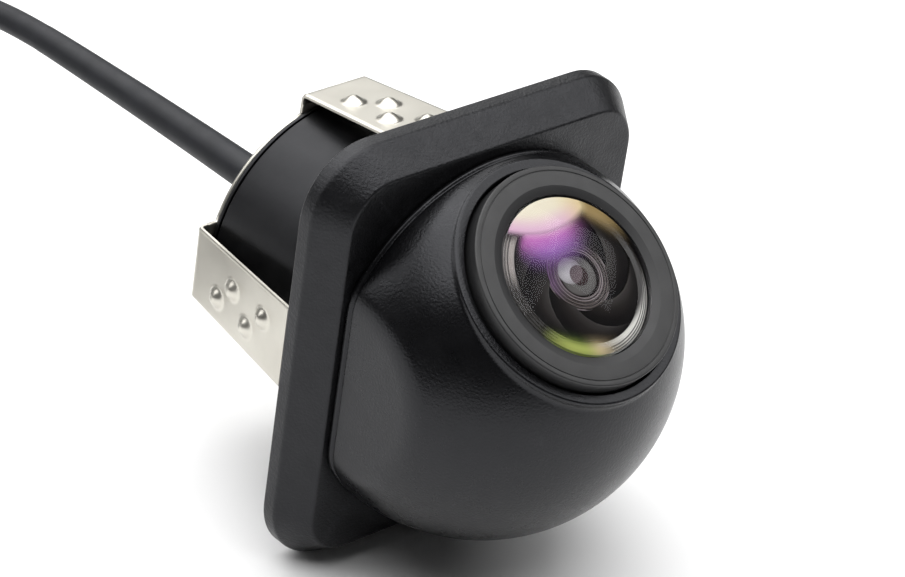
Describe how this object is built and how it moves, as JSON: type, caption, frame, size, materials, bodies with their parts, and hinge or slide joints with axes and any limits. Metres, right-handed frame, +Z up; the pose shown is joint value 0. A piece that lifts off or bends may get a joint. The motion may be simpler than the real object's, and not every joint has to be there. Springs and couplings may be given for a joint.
{
  "type": "backup camera",
  "caption": "Flush-mount reversing camera: domed head with an upward-tilted lens, square flange, round barrel with a spring retainer, and a coiled lead with a threaded plug.",
  "frame": {"origin": "under the middle of the camera's box, without its lead, at the level of the flange's flat bottom edge", "axes": "+Z up, +Y along the barrel from the head towards the lead (into the panel), +X to the right seen from the lens side"},
  "size_m": [0.0417, 0.107, 0.0294],
  "materials": {
    "grained_plastic": "fine spark-eroded grain",
    "satin_plastic": "satin, very fine grain",
    "ring_finish": "smooth satin with a turned face",
    "spring_steel": "bright nickel-plated spring strip",
    "coated_glass": "polished, purple-green coating",
    "inner_glass": "polished",
    "seal_rubber": "moulded rubber",
    "black_metal": "black anodised",
    "silicon": "bare sensor window",
    "circuit_board": "green solder mask",
    "screw_steel": "plated",
    "flex_film": "amber film",
    "white_plastic": "moulded",
    "chip_plastic": "moulded epoxy",
    "epoxy": "poured resin",
    "cord_jacket": "extruded PVC",
    "tie_rubber": "moulded rubber",
    "plug_plastic": "moulded, ribbed grip",
    "gold_plate": "gold-plated contacts"
  },
  "bodies": {
    "housing": {"flange_housing": "grained_plastic", "dome_shell": "satin_plastic", "rear_cap": "grained_plastic", "spring_plate": "spring_steel", "lens_retaining_ring": "ring_finish", "front_element": "coated_glass", "dome_seal": "seal_rubber", "cord_gland": "seal_rubber", "aperture_plate": "black_metal", "inner_cell": "black_metal", "inner_element": "inner_glass", "lens_barrel": "black_metal", "middle_element": "inner_glass", "element_spacer": "black_metal", "rear_element": "inner_glass", "lens_o_ring": "seal_rubber", "lens_holder": "satin_plastic", "ir_filter": "inner_glass", "image_sensor": "silicon", "sensor_board": "circuit_board", "holder_screw_right": "screw_steel", "holder_screw_left": "screw_steel", "flex_ribbon": "flex_film", "board_header": "white_plastic", "video_board": "circuit_board", "video_chip": "chip_plastic", "crystal": "screw_steel", "capacitor": "chip_plastic", "wire_socket": "white_plastic", "rear_potting": "epoxy", "strain_relief": "cord_jacket", "cord_lead": "cord_jacket", "cord_coil": "cord_jacket", "coil_tie": "tie_rubber", "cord_tail": "cord_jacket", "plug_boot": "tie_rubber", "plug_body": "plug_plastic", "plug_insert": "plug_plastic", "plug_seal": "seal_rubber", "plug_pin_1": "gold_plate", "plug_pin_2": "gold_plate", "plug_pin_3": "gold_plate", "plug_pin_4": "gold_plate"},
    "leg_top": {"spring_leg_top": "spring_steel"},
    "leg_left": {"spring_leg_left": "spring_steel"},
    "leg_right": {"spring_leg_right": "spring_steel"},
    "leg_bottom": {"spring_leg_bottom": "spring_steel"},
    "coupling_nut": {"plug_nut": "plug_plastic"}
  },
  "joints": [
    {"name": "leg_top_flex", "type": "hinge", "parent": "housing", "child": "leg_top", "pos_m": [0, 0.01401, 0.0246], "axis": [1, 0, 0], "range_deg": [0, 8], "stiffness_Nm_per_rad": 0.02},
    {"name": "leg_left_flex", "type": "hinge", "parent": "housing", "child": "leg_left", "pos_m": [-0.0099, 0.01401, 0.0147], "axis": [0, 0, 1], "range_deg": [0, 8], "stiffness_Nm_per_rad": 0.02},
    {"name": "leg_right_flex", "type": "hinge", "parent": "housing", "child": "leg_right", "pos_m": [0.0099, 0.01401, 0.0147], "axis": [0, 0, -1], "range_deg": [0, 8], "stiffness_Nm_per_rad": 0.02},
    {"name": "leg_bottom_flex", "type": "hinge", "parent": "housing", "child": "leg_bottom", "pos_m": [0, 0.01401, 0.0048], "axis": [-1, 0, 0], "range_deg": [0, 8], "stiffness_Nm_per_rad": 0.02},
    {"name": "coupling_nut_spin", "type": "hinge", "parent": "housing", "child": "coupling_nut", "pos_m": [-0.023, 0.038, 0.0047], "axis": [0, -1, 0], "continuous": true}
  ]
}
